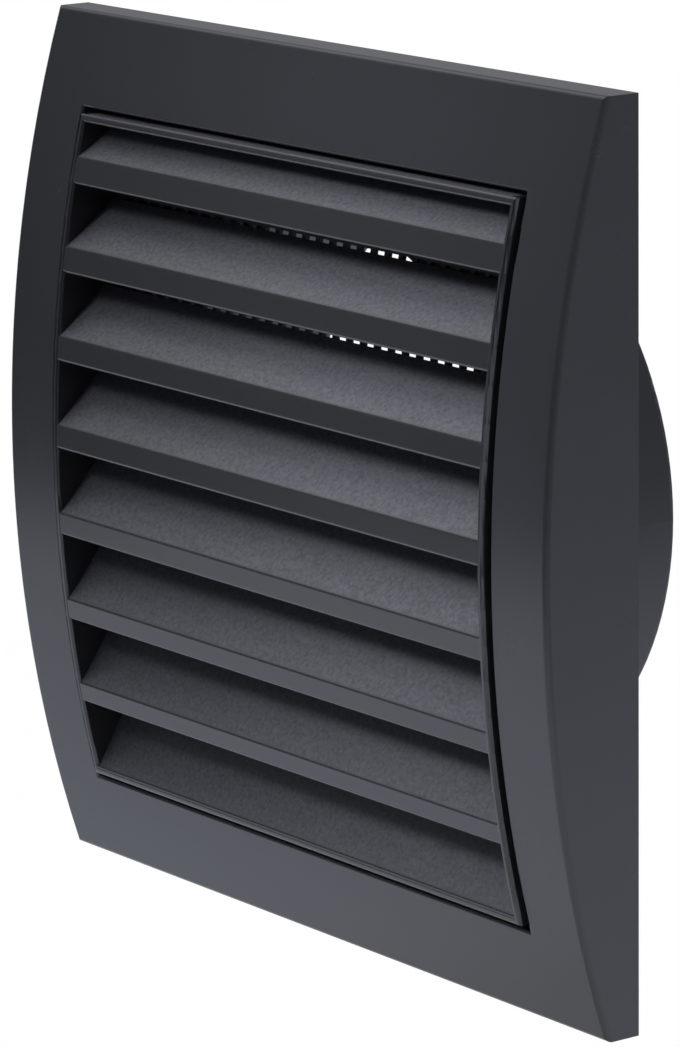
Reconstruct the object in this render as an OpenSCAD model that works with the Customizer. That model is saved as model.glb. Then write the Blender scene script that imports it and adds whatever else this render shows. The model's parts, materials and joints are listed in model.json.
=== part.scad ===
// Square wall vent grille with a bowed cover, a louvre panel, an insect screen and a duct flange.
// X runs across the face, Y runs from the front into the wall and Z runs up.
// The origin is on the duct axis, in the plane of the wall.

/* [Cover] */
// Width of the cover across the wall
cover_width = 150; // [145:0.5:165]
// Height of the cover
cover_height = 150; // [145:0.5:165]
// How far the middle of the front stands ahead of its top and bottom edges
bow_rise = 12.2; // [9:0.1:15]
// Wall thickness of the cover's front and sides
cover_wall = 2.2; // [1.8:0.1:2.5]
// Rounding of the cover's outer front edges
cover_round = 1; // [0.6:0.1:1.4]
// Width of the window in the cover
window_width = 122; // [114:0.5:124]
// Height of the window in the cover
window_height = 118.2; // [112:0.1:120]
// Rounding of the window's front edges
window_round = 0.6; // [0.3:0.1:0.8]
// Depth of the wall that runs back from the window's edge, from the front face
return_depth = 4; // [3.2:0.1:4.6]
// Thickness of that wall
return_wall = 1.6; // [1.2:0.1:2]
// Thickness of the stiffening ribs inside the cover
rib_wall = 1.2; // [0.8:0.1:2]
// Distance from the middle of each side to its outer ribs
rib_spacing = 45; // [30:1:52]
// Diameter of the posts in the cover's corners
post_diameter = 5; // [4:0.1:5.6]
// Clear space between a post and the cover's sides
post_inset = 0.6; // [0.4:0.1:1]
// Clearance between pieces that seat on each other
seat_gap = 0.15; // [0.05:0.05:0.3]

/* [Louvre panel] */
// Shadow gap between the panel and the window all round
panel_gap = 0.8; // [0.5:0.1:1.2]
// How far the panel stands ahead of the cover's front
panel_proud = 0.9; // [0.6:0.1:1.1]
// Width of the panel's rim
rim_width = 1.4; // [1.3:0.1:2]
// Rounding of the rim's outer edge
rim_round = 0.6; // [0.3:0.05:0.7]
// Rounding of the rim's inner edge and of the lips
lip_round = 0.5; // [0.3:0.05:0.55]
// Number of slats, the last one rising from the bottom rim
slat_count = 8; // [6:1:9]
// Clear space between the top rim and the first lip
first_gap = 5.9; // [4.5:0.1:7]
// Clear space between the lowest lip and the bottom rim
last_gap = 12.5; // [11:0.1:13]
// Height of the top slat's upright lip
top_lip = 4.65; // [3.5:0.05:5]
// Height of the lowest upright lip, from which the others grow towards the top
low_lip = 3.5; // [3:0.05:5]
// Thickness of the lips
lip_wall = 1.5; // [1.2:0.1:2]
// How far the lips' front faces lie behind the rim's
lip_inset = 0.1; // [0.1:0.05:0.4]
// How far a blade reaches behind the lips' front faces
blade_depth = 8.8; // [7.8:0.1:9.4]
// Slope of a blade, measured from straight back into the wall
blade_slope = 45; // [40:0.5:48]
// Thickness of a blade
blade_wall = 1.4; // [1:0.1:2]
// Thickness of the flange that seats the panel behind the window
flange_wall = 1.2; // [1:0.1:1.6]
// How far the flange reaches past the window's edge
flange_reach = 5; // [4:0.1:5.6]
// Width of the clips that hold the flange
clip_width = 8; // [5:0.5:12]
// Thickness of a clip's arm
clip_wall = 1.5; // [1.2:0.1:1.8]
// How far a clip's nose hooks over the flange
clip_hook = 0.9; // [0.6:0.1:1.2]
// Length of a clip's sloping nose
clip_nose = 1.6; // [1.2:0.1:2.4]
// Distance along the front from the middle clip to the outer ones
clip_spacing = 32; // [24:1:38]

/* [Insect screen] */
// Pitch of the screen's upright bars
screen_pitch = 3.75; // [3.4:0.05:3.8]
// Width of the upright bars
screen_bar = 1.1; // [0.8:0.1:1.4]
// Thickness of the screen
screen_wall = 0.8; // [0.6:0.1:1.2]
// How far the screen's top and bottom edges lie inside the panel's opening
screen_inset = 2; // [1:0.5:4]
// Number of openings across the screen
screen_columns = 30; // [20:2:30]
// Number of rows of openings
screen_rows = 4; // [2:1:4]
// Width of the cross bars between the rows
cross_bar = 1.1; // [0.8:0.1:2]
// Diameter of the pins that locate the screen
pin_diameter = 1.8; // [1.4:0.1:2.2]
// Clearance round a pin in its hole
pin_gap = 0.2; // [0.1:0.05:0.4]
// Diameter of the bosses under the pins
boss_diameter = 3.6; // [3.2:0.1:4]
// How far a boss sinks into the panel's side
boss_sink = 0.35; // [0.2:0.05:0.6]
// How far a pin stands past the back of the screen
pin_end = 0.6; // [0.3:0.1:1]
// Distance along the front from the middle pin to the outer ones
pin_spacing = 46; // [40:1:48]

/* [Duct flange] */
// Thickness of the base plate
plate_wall = 2.4; // [2:0.1:3]
// Clearance between the base plate and the cover's sides
plate_gap = 0.3; // [0.2:0.05:0.5]
// Rounding of the base plate's corners
plate_corner = 2; // [1:0.5:4]
// Outer diameter of the spigot that enters the duct
spigot_diameter = 98.8; // [78:0.1:102]
// Wall thickness of the spigot
spigot_wall = 2.4; // [1.8:0.1:3]
// Length of the spigot behind the wall's plane
spigot_length = 29; // [15:0.5:60]
// Spacing of the four fixing screws, across and up
screw_spacing = 120; // [114:0.5:124]
// Diameter of the screw holes
screw_hole = 4.5; // [3.5:0.1:5]
// Diameter of the countersink in front of each screw hole
screw_sink = 8.4; // [7:0.1:9]
// How far a snap bead stands in from the cover's side
bead_height = 0.9; // [0.6:0.1:1]
// Length of a snap bead
bead_length = 10; // [6:0.5:14]
// Thickness of a snap bead at its root
bead_depth = 1.1; // [0.8:0.1:1.3]
// Thickness of a snap bead at its tip
bead_tip = 0.4; // [0.2:0.1:0.6]
// Distance from the middle of each side to its snap beads
bead_spacing = 40; // [30:1:50]
// Clearance between the screen's edges and the base plate
screen_room = 0.35; // [0.3:0.05:0.6]

/* [Hidden] */
$fn = 48;
// Segments of the large bow
bow_fn = 360;
// Overlap that makes two solids of one piece fuse, and cutters run clear of a face
over = 0.5;
// How far cutters start ahead of the middle of the front
cutter_lead = 5;

bow_radius = (pow(cover_height / 2, 2) + pow(bow_rise, 2)) / (2 * bow_rise);
panel_width = window_width - 2 * panel_gap;
panel_height = window_height - 2 * panel_gap;
opening_width = panel_width - 2 * rim_width;
opening_height = panel_height - 2 * rim_width;
flange_front = return_depth + seat_gap;
flange_back = flange_front + flange_wall;
flange_width = window_width + 2 * flange_reach;
flange_height = window_height + 2 * flange_reach;
panel_back = lip_inset + blade_depth - panel_proud;
screen_front = panel_back + seat_gap;
screen_back = screen_front + screen_wall;
screen_height = opening_height - 2 * screen_inset;
pin_x = panel_width / 2 + boss_diameter / 2 - boss_sink;
screen_width = 2 * pin_x + boss_diameter;

// The bow's axis lies across the part, this far behind the wall's plane
bow_centre = sqrt(pow(bow_radius - screen_back, 2) - pow(screen_height / 2, 2)) - plate_wall - screen_room;
front_room = bow_radius - bow_centre + cutter_lead;

lip_radius = bow_radius + panel_proud - lip_inset;
opening_angle = asin(opening_height / 2 / lip_radius);
free_slats = slat_count - 1;
first_angle = opening_angle - arc_angle(first_gap, lip_radius);
low_angle = arc_angle(last_gap + low_lip, lip_radius) - opening_angle;
slat_step = (first_angle - low_angle) / (free_slats - 1);
lip_step = (top_lip - low_lip) / (free_slats - 1);
clip_angle = arc_angle(clip_spacing, bow_radius);
pin_angle = arc_angle(pin_spacing, bow_radius);

inside_width = cover_width - 2 * cover_wall;
inside_height = cover_height - 2 * cover_wall;
plate_width = inside_width - 2 * plate_gap;
plate_height = inside_height - 2 * plate_gap;
spigot_bore = spigot_diameter - 2 * spigot_wall;

function unit(v) = v / norm(v);

// Angle of an arc of a given length
function arc_angle(length, radius) = length / radius * 180 / PI;

// Direction from an outline's corner to the next one or the one before, and half the angle between them
function toward(points, i, step) = unit(points[(i + step + len(points)) % len(points)] - points[i]);
function half_angle(points, i) = acos(toward(points, i, -1) * toward(points, i, 1)) / 2;

// Centre of a round of radius r at height z that touches the bow at a given depth
function round_centre(r, z, depth) = [bow_centre - sqrt(pow(bow_radius - depth - r, 2) - z * z), z];

// Extrudes an outline drawn as depth and height across the part
module across(width) {
    rotate([90, 0, 90])
        linear_extrude(width, center = true)
            children();
}

// Turns a section drawn as radius and width about the bow's axis
module around_bow() {
    translate([0, bow_centre, 0])
        rotate([0, 90, 0])
            rotate_extrude($fn = bow_fn)
                children();
}

// Places children on the bow at an angle, with the front face at Y = 0 and Z along the surface
module on_bow(angle) {
    translate([0, bow_centre, 0])
        rotate([-angle, 0, 0])
            translate([0, -bow_radius, 0])
                children();
}

// Everything behind the bow at a given depth, seen from the side
module bow_disc(depth) {
    translate([bow_centre, 0])
        circle(r = bow_radius - depth, $fn = bow_fn);
}

// Side view limits: a given height, from ahead of the front to the given plane
module side_limits(height, back = 0) {
    translate([-front_room, -height / 2])
        square([front_room + back, height]);
}

// Side view of the bow between two depths
module bow_strip(front, back, height) {
    intersection() {
        difference() {
            bow_disc(front);
            bow_disc(back);
        }
        side_limits(height);
    }
}

// A bowed band between two depths
module bow_band(front, back, width, height) {
    across(width)
        bow_strip(front, back, height);
}

// What a round takes off a corner between two faces, given by their outward directions
module corner_waste(centre, r, first, second) {
    between = unit(first + second);
    difference() {
        polygon([
            centre,
            centre + 2 * r * first,
            centre + r * (1 + 1 / (between * first)) * between,
            centre + 2 * r * second
        ]);
        translate(centre)
            circle(r = r);
    }
}

// The waste where a level face meets the bow.
// The solid lies below that face when side is 1 and above it when side is -1.
module edge_waste(r, face, side, depth) {
    centre = round_centre(r, face - side * r, depth);
    corner_waste(centre, r, [0, side], unit(centre - [bow_centre, 0]));
}

// A solid with a bowed front at a given depth and a rounded edge all round it
module rounded_front(width, height, depth, back, r) {
    intersection() {
        across(width)
            difference() {
                intersection() {
                    bow_disc(depth);
                    side_limits(height);
                }
                bow_disc(back);
                for (side = [-1, 1])
                    edge_waste(r, side * height / 2, side, depth);
            }
        around_bow() {
            translate([0, -width / 2])
                square([bow_radius - depth - r, width]);
            translate([0, r - width / 2])
                square([bow_radius - depth, width - 2 * r]);
            for (side = [-1, 1])
                translate([bow_radius - depth - r, side * (width / 2 - r)])
                    circle(r = r);
        }
    }
}

// Cutter for a rectangular hole whose front edge is rounded by r.
// It is the hole's outline seen from above, turned about the bow's axis, where that meets its side view.
module rounded_hole(width, height, depth, r) {
    front = bow_radius - depth;
    intersection() {
        around_bow() {
            translate([0, -width / 2])
                square([front + r, width]);
            for (side = [0, 1])
                mirror([0, side])
                    translate([front - r, width / 2 - over])
                        difference() {
                            square([2 * r, r + over]);
                            translate([0, r + over])
                                circle(r = r);
                        }
        }
        across(width + 4 * r) {
            side_limits(height, over);
            for (side = [-1, 1])
                edge_waste(r, side * height / 2, -side, depth);
        }
    }
}

// An outline whose first few corners, which point outward, are rounded by r.
// Each round is a circle that is turned so that it starts inside the outline.
module rounded_outline(points, rounded, r) {
    polygon([for (i = [0 : len(points) - 1])
        let (run = r / tan(half_angle(points, i)))
            each i < rounded
                ? [points[i] + run * toward(points, i, -1), points[i] + run * toward(points, i, 1)]
                : [points[i]]]);
    for (i = [0 : rounded - 1]) {
        inward = unit(toward(points, i, -1) + toward(points, i, 1));
        translate(points[i] + r / sin(half_angle(points, i)) * inward)
            rotate(atan2(inward[1], inward[0]))
                circle(r = r);
    }
}

// A clip in the cover that hooks over the edge of the panel's flange
module flange_clip() {
    arm = flange_width / 2 + plate_gap;
    ledge = flange_back + seat_gap;
    translate([0, 0, -clip_width / 2])
        linear_extrude(clip_width)
            polygon([
                [arm, cover_wall - over],
                [arm + clip_wall, cover_wall - over],
                [arm + clip_wall, ledge + clip_nose],
                [arm, ledge + clip_nose],
                [arm - clip_hook, ledge],
                [arm, ledge]
            ]);
}

// A bead inside the cover's side that snaps behind the base plate
module snap_bead() {
    translate([inside_width / 2, -bead_depth, -bead_length / 2])
        linear_extrude(bead_length)
            polygon([
                [over, 0],
                [-bead_height, 0],
                [-bead_height, bead_tip],
                [0, bead_depth],
                [over, bead_depth]
            ]);
}

// Stiffening ribs between the window's returned wall and the cover's sides
module cover_ribs() {
    intersection() {
        bow_band(cover_wall - over, return_depth, cover_width - cover_wall, cover_height - cover_wall);
        for (at = [-rib_spacing, 0, rib_spacing]) {
            translate([-cover_width / 2, -front_room, at - rib_wall / 2])
                cube([cover_width, front_room, rib_wall]);
            translate([at - rib_wall / 2, -front_room, -cover_height / 2])
                cube([rib_wall, front_room, cover_height]);
        }
    }
}

// Posts in the corners that stand on the base plate
module corner_posts() {
    foot = plate_wall + seat_gap;
    at_x = inside_width / 2 - post_diameter / 2 - post_inset;
    at_z = inside_height / 2 - post_diameter / 2 - post_inset;
    intersection() {
        for (x = [-at_x, at_x], z = [-at_z, at_z])
            translate([x, -foot, z])
                rotate([90, 0, 0])
                    cylinder(d = post_diameter, h = front_room);
        across(cover_width)
            intersection() {
                bow_disc(cover_wall - over);
                side_limits(cover_height);
            }
    }
}

// The bowed cover with its window
module cover_frame() {
    color("#3b3c41")
        difference() {
            union() {
                difference() {
                    rounded_front(cover_width, cover_height, 0, front_room, cover_round);
                    across(inside_width)
                        intersection() {
                            bow_disc(cover_wall);
                            side_limits(inside_height, over);
                        }
                }
                bow_band(cover_wall - over, return_depth,
                    window_width + 2 * return_wall, window_height + 2 * return_wall);
                cover_ribs();
                corner_posts();
                for (side = [0, 1], angle = [-clip_angle, 0, clip_angle])
                    mirror([side, 0, 0])
                        on_bow(angle)
                            flange_clip();
                for (side = [0, 1], z = [-bead_spacing, bead_spacing])
                    mirror([side, 0, 0])
                        translate([0, 0, z])
                            snap_bead();
            }
            rounded_hole(window_width, window_height, 0, window_round);
        }
}

// Side view of one slat: an upright lip of a given height, and a blade that rises behind it.
// The lip's top front edge is at the origin, and the lip's three free corners are rounded.
module slat_outline(height) {
    rise = tan(blade_slope);
    drop = blade_wall / cos(blade_slope);
    rounded_outline([
        [0, 0],
        [0, -height],
        [lip_wall, -height],
        [lip_wall, lip_wall * rise - drop],
        [blade_depth, blade_depth * rise - drop],
        [blade_depth, blade_depth * rise]
    ], 3, lip_round);
}

// Side view of one slat at its angle on the bow
module slat_at(angle, height) {
    translate([bow_centre, 0])
        rotate(-angle)
            translate([-lip_radius, 0])
                slat_outline(height);
}

// The free slats laid along the bow, and the blade that rises from the bottom rim
module slats() {
    across(opening_width + rim_width)
        intersection() {
            union() {
                for (i = [0 : free_slats - 1])
                    slat_at(first_angle - slat_step * i, top_lip - lip_step * i);
                slat_at(-opening_angle, low_lip);
            }
            side_limits(opening_height + rim_width);
        }
}

// Bosses and pins that locate the insect screen
module screen_pins() {
    for (x = [-pin_x, pin_x], angle = [-pin_angle, 0, pin_angle])
        on_bow(angle)
            translate([x, flange_front + over, 0])
                rotate([-90, 0, 0]) {
                    cylinder(d = boss_diameter, h = panel_back - flange_front - over);
                    cylinder(d = pin_diameter, h = screen_back + pin_end - flange_front - over);
                }
}

// The louvre panel in the window
module louvre_panel() {
    color("#45474d") {
        difference() {
            union() {
                rounded_front(panel_width, panel_height, -panel_proud, panel_back, rim_round);
                bow_band(flange_front, flange_back, flange_width, flange_height);
            }
            rounded_hole(opening_width, opening_height, -panel_proud, lip_round);
        }
        slats();
        screen_pins();
    }
}

// The openings of the screen, seen from the front
module screen_openings() {
    row_height = (screen_height - 2 * cross_bar) / screen_rows;
    gap = screen_pitch - screen_bar;
    for (column = [0 : screen_columns - 1], row = [0 : screen_rows - 1])
        translate([
            (column - (screen_columns - 1) / 2) * screen_pitch - gap / 2,
            -front_room,
            (row - screen_rows / 2) * row_height + cross_bar / 2
        ])
            cube([gap, front_room, row_height - cross_bar]);
}

// The bowed insect screen behind the slats
module insect_screen() {
    color("#26272a")
        difference() {
            bow_band(screen_front, screen_back, screen_width, screen_height);
            screen_openings();
            for (x = [-pin_x, pin_x], angle = [-pin_angle, 0, pin_angle])
                on_bow(angle)
                    translate([x, panel_back, 0])
                        rotate([-90, 0, 0])
                            cylinder(d = pin_diameter + 2 * pin_gap, h = screen_wall + 2 * over);
        }
}

// Front view of the base plate
module plate_outline() {
    square([plate_width - 2 * plate_corner, plate_height], center = true);
    square([plate_width, plate_height - 2 * plate_corner], center = true);
    for (x = [-1, 1], z = [-1, 1])
        translate([x * (plate_width / 2 - plate_corner), z * (plate_height / 2 - plate_corner)])
            circle(r = plate_corner);
}

// The base plate with its duct spigot
module duct_flange() {
    seat_depth = bead_depth + seat_gap;
    seat_height = bead_height + plate_gap;
    seat_length = bead_length + 2 * plate_gap;
    sink_depth = (screw_sink - screw_hole) / 2;
    color("#303135")
        difference() {
            union() {
                rotate([90, 0, 0])
                    linear_extrude(plate_wall)
                        plate_outline();
                rotate([-90, 0, 0])
                    rotate_extrude($fn = 180) {
                        translate([spigot_bore / 2, -plate_wall])
                            square([spigot_wall, plate_wall + spigot_length - spigot_wall / 2]);
                        translate([spigot_bore / 2 + spigot_wall / 2, spigot_length - spigot_wall / 2])
                            circle(d = spigot_wall);
                    }
            }
            translate([0, over, 0])
                rotate([90, 0, 0])
                    cylinder(d = spigot_bore, h = plate_wall + 2 * over, $fn = 180);
            for (x = [-screw_spacing / 2, screw_spacing / 2], z = [-screw_spacing / 2, screw_spacing / 2])
                translate([x, 0, z])
                    rotate([90, 0, 0]) {
                        translate([0, 0, -over])
                            cylinder(d = screw_hole, h = plate_wall + 2 * over);
                        translate([0, 0, plate_wall - sink_depth])
                            cylinder(d1 = screw_hole, d2 = screw_sink, h = sink_depth);
                    }
            for (side = [0, 1], z = [-bead_spacing, bead_spacing])
                mirror([side, 0, 0])
                    translate([inside_width / 2 - seat_height, -seat_depth, z - seat_length / 2])
                        cube([seat_height, seat_depth + over, seat_length]);
        }
}

cover_frame();
louvre_panel();
insect_screen();
duct_flange();
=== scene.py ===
# %% [markdown]
# A square wall vent in anthracite plastic. The real one is four mouldings that clip together: a
# bowed cover, a panel of sloping slats in its window, a fine insect screen behind the slats, and
# a base plate with a round spigot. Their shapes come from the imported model, which is loaded as a
# fixed frame. This script gives them their finish, weaves the fine screen, and sets up the light
# and the camera.

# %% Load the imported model
import json
import math

import bpy
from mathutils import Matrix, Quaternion, Vector

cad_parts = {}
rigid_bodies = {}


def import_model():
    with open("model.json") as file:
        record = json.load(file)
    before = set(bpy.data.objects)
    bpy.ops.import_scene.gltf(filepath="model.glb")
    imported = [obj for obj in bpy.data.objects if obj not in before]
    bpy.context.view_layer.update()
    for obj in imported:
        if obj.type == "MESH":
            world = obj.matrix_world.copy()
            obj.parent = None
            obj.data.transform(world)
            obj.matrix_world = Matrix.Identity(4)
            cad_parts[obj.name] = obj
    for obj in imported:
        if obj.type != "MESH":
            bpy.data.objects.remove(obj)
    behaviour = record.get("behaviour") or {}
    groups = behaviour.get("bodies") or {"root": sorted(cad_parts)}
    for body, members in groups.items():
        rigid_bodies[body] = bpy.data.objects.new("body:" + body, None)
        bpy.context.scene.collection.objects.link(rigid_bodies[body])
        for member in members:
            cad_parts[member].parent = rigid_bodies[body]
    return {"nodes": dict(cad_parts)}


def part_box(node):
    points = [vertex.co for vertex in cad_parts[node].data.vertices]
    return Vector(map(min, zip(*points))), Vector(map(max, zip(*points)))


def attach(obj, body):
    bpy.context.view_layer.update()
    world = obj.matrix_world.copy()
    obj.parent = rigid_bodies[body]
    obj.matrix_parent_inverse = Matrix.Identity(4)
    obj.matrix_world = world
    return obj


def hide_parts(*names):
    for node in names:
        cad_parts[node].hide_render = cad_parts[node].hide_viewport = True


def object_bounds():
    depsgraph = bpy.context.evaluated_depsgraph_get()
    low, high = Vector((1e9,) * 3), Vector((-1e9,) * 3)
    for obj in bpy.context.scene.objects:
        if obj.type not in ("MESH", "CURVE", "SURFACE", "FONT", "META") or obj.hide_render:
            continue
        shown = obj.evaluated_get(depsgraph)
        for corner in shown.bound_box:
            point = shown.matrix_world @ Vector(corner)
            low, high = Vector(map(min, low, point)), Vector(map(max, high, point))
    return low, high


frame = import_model()
cad_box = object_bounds()
nodes = frame["nodes"]
print("nodes:", sorted(nodes))

MM = 0.001

# %% [markdown]
# The photograph was taken from the right of the vent and a little above it, with a long lens, so
# its edges stay nearly parallel. The camera's place was fitted to the corners of the cover and of
# its window. A lens in millimetres goes with a sensor of 36 mm along the picture's long side, so
# the focal length in pixels is turned into that.

# %% Place the camera
PICTURE_HEIGHT = 1047
FOCAL_PIXELS = 5448
camera_place = Vector((710.6, -524.6, 190.9)) * MM
yaw = math.radians(53.68)
pitch = math.radians(12.5)
roll = math.radians(-0.71)

camera_data = bpy.data.cameras.new("camera")
camera_data.sensor_width = 36
camera_data.lens = FOCAL_PIXELS * camera_data.sensor_width / PICTURE_HEIGHT
camera_data.clip_start = 0.01
camera_data.clip_end = 50
camera = bpy.data.objects.new("camera", camera_data)
bpy.context.scene.collection.objects.link(camera)
sight = Vector((-math.sin(yaw) * math.cos(pitch), math.cos(yaw) * math.cos(pitch),
                -math.sin(pitch)))
camera.rotation_mode = "QUATERNION"
camera.rotation_quaternion = sight.to_track_quat("-Z", "Y") @ Quaternion((0, 0, 1), roll)
camera.location = camera_place
bpy.context.scene.camera = camera
print("lens: %.1f mm" % camera_data.lens)

# %% [markdown]
# The screen keeps insects out. On the real vent it is a thin plastic sheet with hundreds of
# square holes, bowed like the cover, and light from the duct shows through them as a row of dots
# above each blade. It could be a flat grid that a modifier bends, but a row of edges spun about
# the axis of the bow gives the curve at once, and every cell of the spun sheet can then be inset
# and opened. The rows sit a little below the middle, where the photograph has its dots. Points
# that lie near each other, within a hundredth of a millimetre, count as one place.

# %% Read the screen's bow from the solid it replaces
low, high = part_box("insect_screen")
screen_wall = 0.8 * MM
hole_pitch = 3.75 * MM
bar_width = 1.1 * MM
columns = 30
rows = 28
rows_shift = -0.4 * MM
near = 0.01 * MM
rise = high.y - low.y - screen_wall
back_radius = (high.z ** 2 + rise ** 2) / (2 * rise)
front_radius = back_radius + screen_wall
bow_y = low.y + front_radius
print("screen radius: %.1f mm" % (front_radius / MM))


# %% Work on one thing at a time
def select_only(thing):
    bpy.ops.object.select_all(action="DESELECT")
    thing.select_set(True)
    bpy.context.view_layer.objects.active = thing


def pick(thing, kind, wanted):
    """Selects, in edit mode, the vertices, edges or faces of which every corner passes the test."""
    bpy.ops.mesh.select_mode(type=kind)
    bpy.ops.mesh.select_all(action="DESELECT")
    bpy.ops.object.mode_set(mode="OBJECT")
    mesh = thing.data
    parts = {"VERT": mesh.vertices, "EDGE": mesh.edges, "FACE": mesh.polygons}[kind]
    for part in parts:
        corners = [part.index] if kind == "VERT" else part.vertices
        part.select = all(wanted(mesh.vertices[i].co) for i in corners)
    bpy.ops.object.mode_set(mode="EDIT")
    bpy.ops.mesh.select_mode(type=kind)


# %% Spin a row of edges into the bowed sheet
sheet_width = columns * hole_pitch
half_turn = rows * hole_pitch / 2 / front_radius
shift_turn = rows_shift / front_radius


def on_bow(angle):
    """The place on the sheet's front at this angle above the middle."""
    return Vector((0, bow_y - front_radius * math.cos(angle), front_radius * math.sin(angle)))


foot = on_bow(shift_turn - half_turn)
crown = on_bow(shift_turn + half_turn)
bpy.ops.object.select_all(action="DESELECT")
bpy.ops.mesh.primitive_grid_add(x_subdivisions=columns, y_subdivisions=1, size=sheet_width,
                                location=foot - Vector((0, sheet_width / 2, 0)))
screen = bpy.context.object
screen.name = "fine_insect_screen"
bpy.ops.object.transform_apply(location=True)
bpy.ops.object.mode_set(mode="EDIT")
pick(screen, "VERT", lambda place: place.y < foot.y - sheet_width / 2)
bpy.ops.mesh.delete(type="VERT")
bpy.ops.mesh.select_all(action="SELECT")
bpy.ops.mesh.spin(steps=rows, angle=2 * half_turn, center=(0, bow_y, 0), axis=(1, 0, 0))
bpy.ops.mesh.select_all(action="SELECT")
bpy.ops.mesh.remove_doubles(threshold=near)
bpy.ops.object.mode_set(mode="OBJECT")
heights = [v.co.z for v in screen.data.vertices]
print("sheet: %d cells, %.1f to %.1f mm high" % (
    len(screen.data.polygons), min(heights) / MM, max(heights) / MM))

# %% [markdown]
# Each cell now becomes a square hole. Cutting 840 holes one by one would be slow and fragile. An
# inset of every face by half a bar, each for itself, draws all the holes at once, and the inner
# faces are then deleted.

# %% Open the cells
bpy.ops.object.mode_set(mode="EDIT")
bpy.ops.mesh.select_mode(type="FACE")
bpy.ops.mesh.select_all(action="SELECT")
bpy.ops.mesh.inset(thickness=bar_width / 2, use_individual=True)
bpy.ops.mesh.delete(type="FACE")
bpy.ops.object.mode_set(mode="OBJECT")
print("bars: %d faces" % len(screen.data.polygons))

# %% [markdown]
# The real sheet ends in a plain border, which is held against the panel. The outer edges are
# pulled out sideways, then down and up, in the direction in which the bow ends, until the sheet
# fills the box of the solid. Solidify then gives the finished sheet its wall, towards the back.

# %% Add the plain border
border = high.x - sheet_width / 2
for side in (-1, 1):
    bpy.ops.object.mode_set(mode="EDIT")
    pick(screen, "EDGE", lambda place: side * place.x > sheet_width / 2 - near)
    bpy.ops.mesh.extrude_region_move(TRANSFORM_OT_translate={"value": (side * border, 0, 0)})
for side, end in ((-1, foot), (1, crown)):
    pick(screen, "EDGE", lambda place: side * place.z > side * end.z - near)
    step = high.z - side * end.z
    slope = side * end.z / (bow_y - end.y)
    outwards = (0, slope * step, side * step)
    bpy.ops.mesh.extrude_region_move(TRANSFORM_OT_translate={"value": outwards})
bpy.ops.mesh.select_all(action="SELECT")
bpy.ops.mesh.normals_make_consistent(inside=False)
bpy.ops.object.mode_set(mode="OBJECT")
if screen.data.polygons[0].normal.y > 0:
    screen.data.flip_normals()
print("border: %.1f mm wide, %.1f mm high" % (border / MM, step / MM))


# %% Thicken the sheet
def apply(thing, kind, **settings):
    """Adds a modifier with its settings and applies it."""
    select_only(thing)
    modifier = thing.modifiers.new(kind.lower(), kind)
    for key, value in settings.items():
        setattr(modifier, key, value)
    bpy.ops.object.modifier_apply(modifier=modifier.name)


apply(screen, "SOLIDIFY", thickness=screen_wall, offset=-1)
print("solid: %d faces" % len(screen.data.polygons))

# %% [markdown]
# Six pins on the louvre panel pass through the screen's border and hold it: one at the middle of
# each side, and one above and below it, an arc of the bow away. The holes are cut with one set of
# cylinders that all point at the axis of the bow.

# %% Cut the pin holes
pin_hole = 2.2 * MM
pin_inset = 1.8 * MM
pin_arc = math.radians(11.14)
drill_length = 6 * screen_wall
drill_sides = 24
smooth_below = math.radians(30)
bpy.ops.object.select_all(action="DESELECT")
for side in (-1, 1):
    for angle in (-pin_arc, 0, pin_arc):
        out = Vector((0, -math.cos(angle), math.sin(angle)))
        centre = Vector((side * (high.x - pin_inset), bow_y, 0)) + front_radius * out
        bpy.ops.mesh.primitive_cylinder_add(vertices=drill_sides, radius=pin_hole / 2,
                                            depth=drill_length, location=centre,
                                            rotation=out.to_track_quat("Z", "X").to_euler())
drills = [thing for thing in bpy.context.scene.objects if thing.name.startswith("Cylinder")]
for drill in drills:
    drill.select_set(True)
bpy.context.view_layer.objects.active = drills[0]
bpy.ops.object.join()
cutter = bpy.context.object
apply(screen, "BOOLEAN", operation="DIFFERENCE", object=cutter, solver="EXACT")
bpy.data.objects.remove(cutter)
select_only(screen)
bpy.ops.object.shade_smooth_by_angle(angle=smooth_below)
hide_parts("insect_screen")
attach(screen, "root")
print("screen: %d faces" % len(screen.data.polygons))

# %% [markdown]
# Every piece is dyed plastic from a steel mould, so its look is mostly in its surface and not in
# its colour; only the blades' dye is made paler as a painted sheen. The cover's mould was polished,
# which leaves a satin face that mirrors the floor softly.
# The blades' mould was sparked, which leaves fine pits that scatter the light. Both could be
# painted as pictures, but noise in the bump, the gloss and the tint, at the scale of the real
# grain, holds up at any distance. A wide, faint mottle keeps the large faces from looking drawn.
# Sums on sockets read best as plain expressions, so a small class wraps a socket.

# %% Wrap sockets for sums
class Value:
    """A socket that takes part in sums. Each operator adds a Math node."""

    def __init__(self, finish, socket):
        self.finish = finish
        self.socket = socket

    def maths(self, operation, first, second):
        return self.finish.node("Math", {"operation": operation}, {0: first, 1: second})

    def __add__(self, other):
        return self.maths("ADD", self, other)

    def __radd__(self, other):
        return self.maths("ADD", other, self)

    def __sub__(self, other):
        return self.maths("SUBTRACT", self, other)

    def __rsub__(self, other):
        return self.maths("SUBTRACT", other, self)

    def __mul__(self, other):
        return self.maths("MULTIPLY", self, other)

    def __rmul__(self, other):
        return self.maths("MULTIPLY", other, self)


class Finish:
    """A node tree that is built by naming nodes and what goes into them."""

    def __init__(self, tree):
        self.tree = tree
        self.tree.nodes.clear()

    def node(self, kind, settings=None, inputs=None, output=0):
        made = self.tree.nodes.new("ShaderNode" + kind)
        for key, value in (settings or {}).items():
            setattr(made, key, value)
        for key, value in (inputs or {}).items():
            if isinstance(value, Value):
                self.tree.links.new(value.socket, made.inputs[key])
            else:
                made.inputs[key].default_value = value
        return Value(self, made.outputs[output]) if made.outputs else None


def new_material(name):
    material = bpy.data.materials.new(name)
    material.use_nodes = True
    return material, Finish(material.node_tree)


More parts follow.
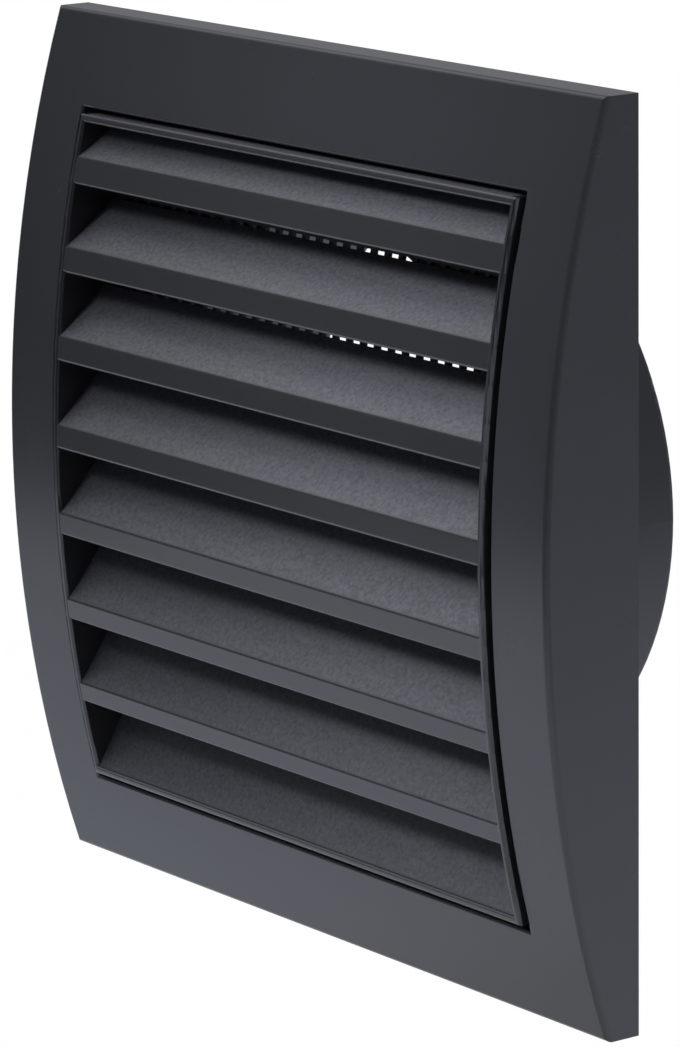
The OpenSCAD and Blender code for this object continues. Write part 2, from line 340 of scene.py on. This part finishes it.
# %% A moulded plastic with its grain
satin = 0.20
mottle_size = 14 * MM
mottle_tint = 0.10
mottle_gloss = 0.05
grain_gloss = 0.5
# How much paler the blades are made: partly the grain's own pallor, partly a painted sheen for the
# light that they catch.
pallor_and_painted_sheen = 3.6
plastic_index = 1.54


def moulded_plastic(name, colour, roughness, grain_size, grain_depth, sparkle, grain_and_sheen_mask=None,
                    index=plastic_index):
    """Dyed plastic. The grain's size and depth are in metres, and sparkle is how much it varies.

    Where the grain mask is given, it is called with the node tree and the place on the surface, and
    says from 0 to 1 how much of the grain is left there. There the dye is also made paler, partly
    as a painted sheen. Where none is left, the face is satin.
    """
    material, finish = new_material(name)
    place = finish.node("TexCoord", output="Object")

    def noise(size, detail=2.0, rough=0.5):
        return finish.node("TexNoise", {"noise_dimensions": "3D"}, {
            "Vector": place, "Scale": 1 / size, "Detail": detail, "Roughness": rough})

    share = grain_and_sheen_mask(finish, place) if grain_and_sheen_mask else 1.0
    grain = (noise(grain_size, detail=2.0, rough=0.6) - 0.5) * share
    mottle = noise(mottle_size, detail=3.0) - 0.5
    tint = 1 + mottle_tint * mottle + sparkle * grain
    # Painted sheen: the dye is made paler where the grain mask is one, partly for the grain's own
    # pallor and partly for the light the blades catch.
    if grain_and_sheen_mask:
        tint = tint * (1 + (pallor_and_painted_sheen - 1) * share)
    dye = finish.node("VectorMath", {"operation": "SCALE"}, {0: colour, "Scale": tint})
    bump = finish.node("Bump", inputs={"Height": grain, "Strength": 1.0, "Distance": grain_depth})
    gloss = (satin + (roughness - satin) * share + mottle_gloss * mottle
             - grain_gloss * sparkle * grain)
    shader = finish.node("BsdfPrincipled", inputs={
        "Base Color": dye, "Roughness": gloss, "Normal": bump, "IOR": index})
    finish.node("OutputMaterial", inputs={"Surface": shader})
    return material


# %% [markdown]
# On the panel the grain is only on the blades: the lips, the rim and the rim's inner walls are
# smooth. The front faces lie on a cylinder about the axis of the bow, so the distance from that
# axis tells them from the blades, and the distance from the middle tells the walls at the blades'
# ends. No face has to be picked. The mask runs from 1 to 0 between two such distances, over less
# than a third of a millimetre, and reaches partly onto the lips' rounded edges. The pits scatter
# the light, so the blades are paler, but the same mask also paints a sheen on them: their dye is
# made several times paler, to stand in for the light that their upward faces catch.

# %% Keep the grain and the painted sheen behind the lips
lip_radius = bow_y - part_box("louvre_panel")[0].y
lip_fade = (lip_radius - 0.45 * MM, lip_radius - 0.15 * MM)
rim_inside = 58.8 * MM
wall_fade = (rim_inside - 0.2 * MM, rim_inside - 0.05 * MM)


def on_the_blades(finish, place):
    """From 1 on the blades to 0 on the lips' front faces, the rim and its walls."""
    section = finish.node("VectorMath", {"operation": "MULTIPLY"}, {0: place, 1: (0, 1, 1)})
    spoke = finish.node("VectorMath", {"operation": "SUBTRACT"}, {0: section, 1: (0, bow_y, 0)})
    radius = finish.node("VectorMath", {"operation": "LENGTH"}, {0: spoke}, output="Value")
    x = finish.node("SeparateXYZ", inputs={0: place}, output="X")
    aside = finish.node("Math", {"operation": "ABSOLUTE"}, {0: x})
    behind, between = [finish.node("MapRange", inputs={
        "Value": distance, "From Min": start, "From Max": end, "To Min": 1.0, "To Max": 0.0})
        for distance, (start, end) in ((radius, lip_fade), (aside, wall_fade))]
    return behind * between


# %% [markdown]
# One function now makes all four finishes. The cover has the faintest grain. The panel's dye is a
# little darker and its smooth faces a little glossier, so that its lips stand out dark beside the
# blades, whose dye is made pale with a painted sheen. The base plate is hidden in use, so its mould
# was left dull, and the screen is black.

# %% Give each piece its finish
anthracite = (0.028, 0.0293, 0.0345)
panel_grey = (0.0224, 0.0229, 0.0268)
flange_grey = (0.0215, 0.0222, 0.0262)
soot = (0.012, 0.012, 0.013)
panel_index = 1.61
finishes = {
    "cover_frame": moulded_plastic(
        "cover_plastic", anthracite, roughness=0.26, grain_size=0.35 * MM,
        grain_depth=0.002 * MM, sparkle=0.05),
    # The panel's blades get the grain and, in their paler dye, a painted sheen.
    "louvre_panel": moulded_plastic(
        "panel_plastic", panel_grey, roughness=0.44, grain_size=0.70 * MM,
        grain_depth=0.020 * MM, sparkle=1.25, grain_and_sheen_mask=on_the_blades, index=panel_index),
    "duct_flange": moulded_plastic(
        "flange_plastic", flange_grey, roughness=0.50, grain_size=0.40 * MM,
        grain_depth=0.006 * MM, sparkle=0.08),
}
for name, material in finishes.items():
    nodes[name].data.materials.clear()
    nodes[name].data.materials.append(material)
screen.data.materials.append(moulded_plastic(
    "screen_plastic", soot, roughness=0.6, grain_size=0.3 * MM, grain_depth=0.004 * MM,
    sparkle=0.04))
print("finishes:", sorted(finishes))

# %% [markdown]
# The vent hangs over a pale floor, as in a studio. The camera sees plain white there. The plastic
# mirrors the floor too, which is what makes the lower half of the bowed front lighter than the
# upper half. More light would do that as well, but it would bleach the colour. Light Path tells
# what kind of ray asks. The camera's share stays just below one, so that the floor keeps the
# vent's shadow. The floor's mirror image gets a painted shadow: it is dark right under the vent,
# where the real floor has its shadow.

# %% Tell direct sight from the rest
white = (1, 1, 1, 1)


def seen_directly(finish):
    """One for rays straight from the camera and for those that pass through something clear."""
    return finish.node("LightPath", output="Is Camera Ray") + finish.node(
        "LightPath", output="Is Transmission Ray")


# %% Lay the floor
floor_drop = 0.2
floor_size = 1.84
floor_colour = (0.9, 0.9, 0.9, 1)
mirrored_colour = (0.825, 0.867, 1.0, 1)
floor_share = 0.985
shade_inside = 0.22
shade_outside = 0.30
bpy.ops.object.select_all(action="DESELECT")
bpy.ops.mesh.primitive_plane_add(size=floor_size, location=(0, 0, cad_box[0].z - floor_drop))
floor = bpy.context.object
floor.name = "floor"
floor_material, finish = new_material("floor_white")
painted = finish.node("BsdfDiffuse", inputs={"Color": floor_colour})
bright = finish.node("Emission", inputs={"Color": white, "Strength": 1.0})
cool_bright = finish.node("Emission", inputs={"Color": mirrored_colour, "Strength": 1.0})
place = finish.node("TexCoord", output="Object")
distance = finish.node("VectorMath", {"operation": "LENGTH"}, {0: place}, output="Value")
# Painted shadow: to glossy rays the floor fades to dark within this distance of the middle, under
# the vent.
clear = finish.node("MapRange", inputs={"Value": distance, "From Min": shade_inside,
                                        "From Max": shade_outside})
mirrored = clear * finish.node("LightPath", output="Is Glossy Ray")
lit = finish.node("MixShader", inputs={0: mirrored, 1: painted, 2: cool_bright})
seen = finish.node("MixShader", inputs={0: floor_share * seen_directly(finish), 1: lit, 2: bright})
finish.node("OutputMaterial", inputs={"Surface": seen})
floor.data.materials.append(floor_material)
print("floor: %.2f m below the vent" % floor_drop)

# %% [markdown]
# The world is white to the camera and dim to the plastic, as a studio with dark walls is. It
# could be white all round, but then a satin face this dark would mirror the white and look
# bleached. It is darkest behind the camera, where a black cloth hangs: the rounded edge between
# the front and the side mirrors that cloth, and shows as a thin dark line. It gets lighter
# towards the walls and towards the ceiling on the left. In a world, Generated is the direction
# that a ray looks in, so its Y says where the cloth ends, and its Z where the ceiling starts.

# %% Fill the world
cloth_end, walls_start = -0.72, -0.56
ceiling_start, ceiling_end = -0.05, 0.30
ceiling_slant = 0.7
walls_share, ceiling_share = 0.63, 0.37
cloth_light, room_light, shade_light = 0.025, 0.29, 0.127
cool = (0.88, 0.90, 1.0, 1)
world = bpy.data.worlds.new("studio")
bpy.context.scene.world = world
world.use_nodes = True
finish = Finish(world.node_tree)
sky = finish.node("TexCoord", output="Generated")
across, depth, up = [finish.node("SeparateXYZ", inputs={0: sky}, output=axis) for axis in "XYZ"]
to_the_right = finish.node("Math", {"operation": "MAXIMUM"}, {0: across, 1: 0.0})
ceiling = finish.node("MapRange", inputs={
    "Value": up - ceiling_slant * to_the_right, "From Min": ceiling_start, "From Max": ceiling_end})
walls = finish.node("MapRange", inputs={
    "Value": depth, "From Min": cloth_end, "From Max": walls_start})
cloth, room, shade = [finish.node("Background", inputs={"Color": cool, "Strength": strength})
                      for strength in (cloth_light, room_light, shade_light)]
backdrop = finish.node("Background", inputs={"Color": white, "Strength": 1.0})
mirrored = finish.node("MixShader", inputs={
    0: walls_share * walls + ceiling_share * ceiling, 1: cloth, 2: room})
glossy = finish.node("LightPath", output="Is Glossy Ray")
indirect = finish.node("MixShader", inputs={0: glossy, 1: shade, 2: mirrored})
surround = finish.node("MixShader", inputs={0: seen_directly(finish), 1: indirect, 2: backdrop})
finish.node("OutputWorld", inputs={"Surface": surround})
print("world: 1.00 to the camera, %.3f to %.2f to the plastic" % (cloth_light, room_light))

# %% [markdown]
# The key light is a small lamp close to the vent, a little to the left and above. Its beam has a
# soft edge and is aimed at the right end of the blades, so each lip throws a soft shadow on the
# blade below it, and the lowest blades and the left of the cover stay dim. A big softbox high on
# the left adds the sheen on the front of the blades, and a small one above it lifts the top of
# the bowed cover. Three more lamps serve the top edge, the right side and the back. All but the
# big softbox and the top one hang behind a polarising filter, which takes their glare away. In
# Blender, that is one setting: the lamp isn't visible to glossy rays.

# %% Hang the lights
def direction(azimuth, elevation):
    """From the vent towards a place around it. Azimuth 0 is in front, and 90 is to the right."""
    turn, tilt = math.radians(azimuth), math.radians(elevation)
    level = math.cos(tilt)
    return Vector((math.sin(turn) * level, -math.cos(turn) * level, math.sin(tilt)))


def hang(name, lamp, place, power, target, polarised):
    """Hangs a lamp at its place around the vent, an azimuth, an elevation and a distance."""
    azimuth, elevation, distance = place
    lamp.energy = power
    thing = bpy.data.objects.new(name, lamp)
    bpy.context.scene.collection.objects.link(thing)
    thing.location = direction(azimuth, elevation) * distance
    thing.rotation_mode = "QUATERNION"
    thing.rotation_quaternion = (thing.location - target).to_track_quat("Z", "Y")
    thing.visible_glossy = not polarised


def softbox(name, place, width, height, power, polarised=False):
    """A lit panel that faces the vent."""
    lamp = bpy.data.lights.new(name, "AREA")
    lamp.shape = "RECTANGLE"
    lamp.size = width
    lamp.size_y = height
    hang(name, lamp, place, power, Vector(), polarised)


def beam(name, place, radius, cone, power, target, polarised=False):
    """A lamp whose beam has a soft edge and opens by the cone's angle, in degrees."""
    lamp = bpy.data.lights.new(name, "SPOT")
    lamp.shadow_soft_size = radius
    lamp.spot_size = math.radians(cone)
    lamp.spot_blend = 1.0
    hang(name, lamp, place, power, target, polarised)


right_blades = Vector((44, 0, 4)) * MM
beam("key_beam", (-16, 42, 0.34), radius=0.075, cone=28, power=7.3, target=right_blades,
     polarised=True)
softbox("high_softbox", (-78, 47, 1.2), width=0.9, height=0.5, power=1.2)
softbox("crown_softbox", (-50, 60, 1.2), width=0.5, height=0.5, power=4.0, polarised=True)
softbox("top_softbox", (-126, 14, 1.5), width=1.0, height=0.6, power=0.25)
softbox("side_softbox", (106, 16, 1.2), width=0.4, height=0.4, power=8, polarised=True)
softbox("rear_softbox", (195, 18, 1.5), width=0.8, height=0.8, power=14, polarised=True)

# %% Show the colours as they are
view = bpy.context.scene.view_settings
view.view_transform = "Standard"
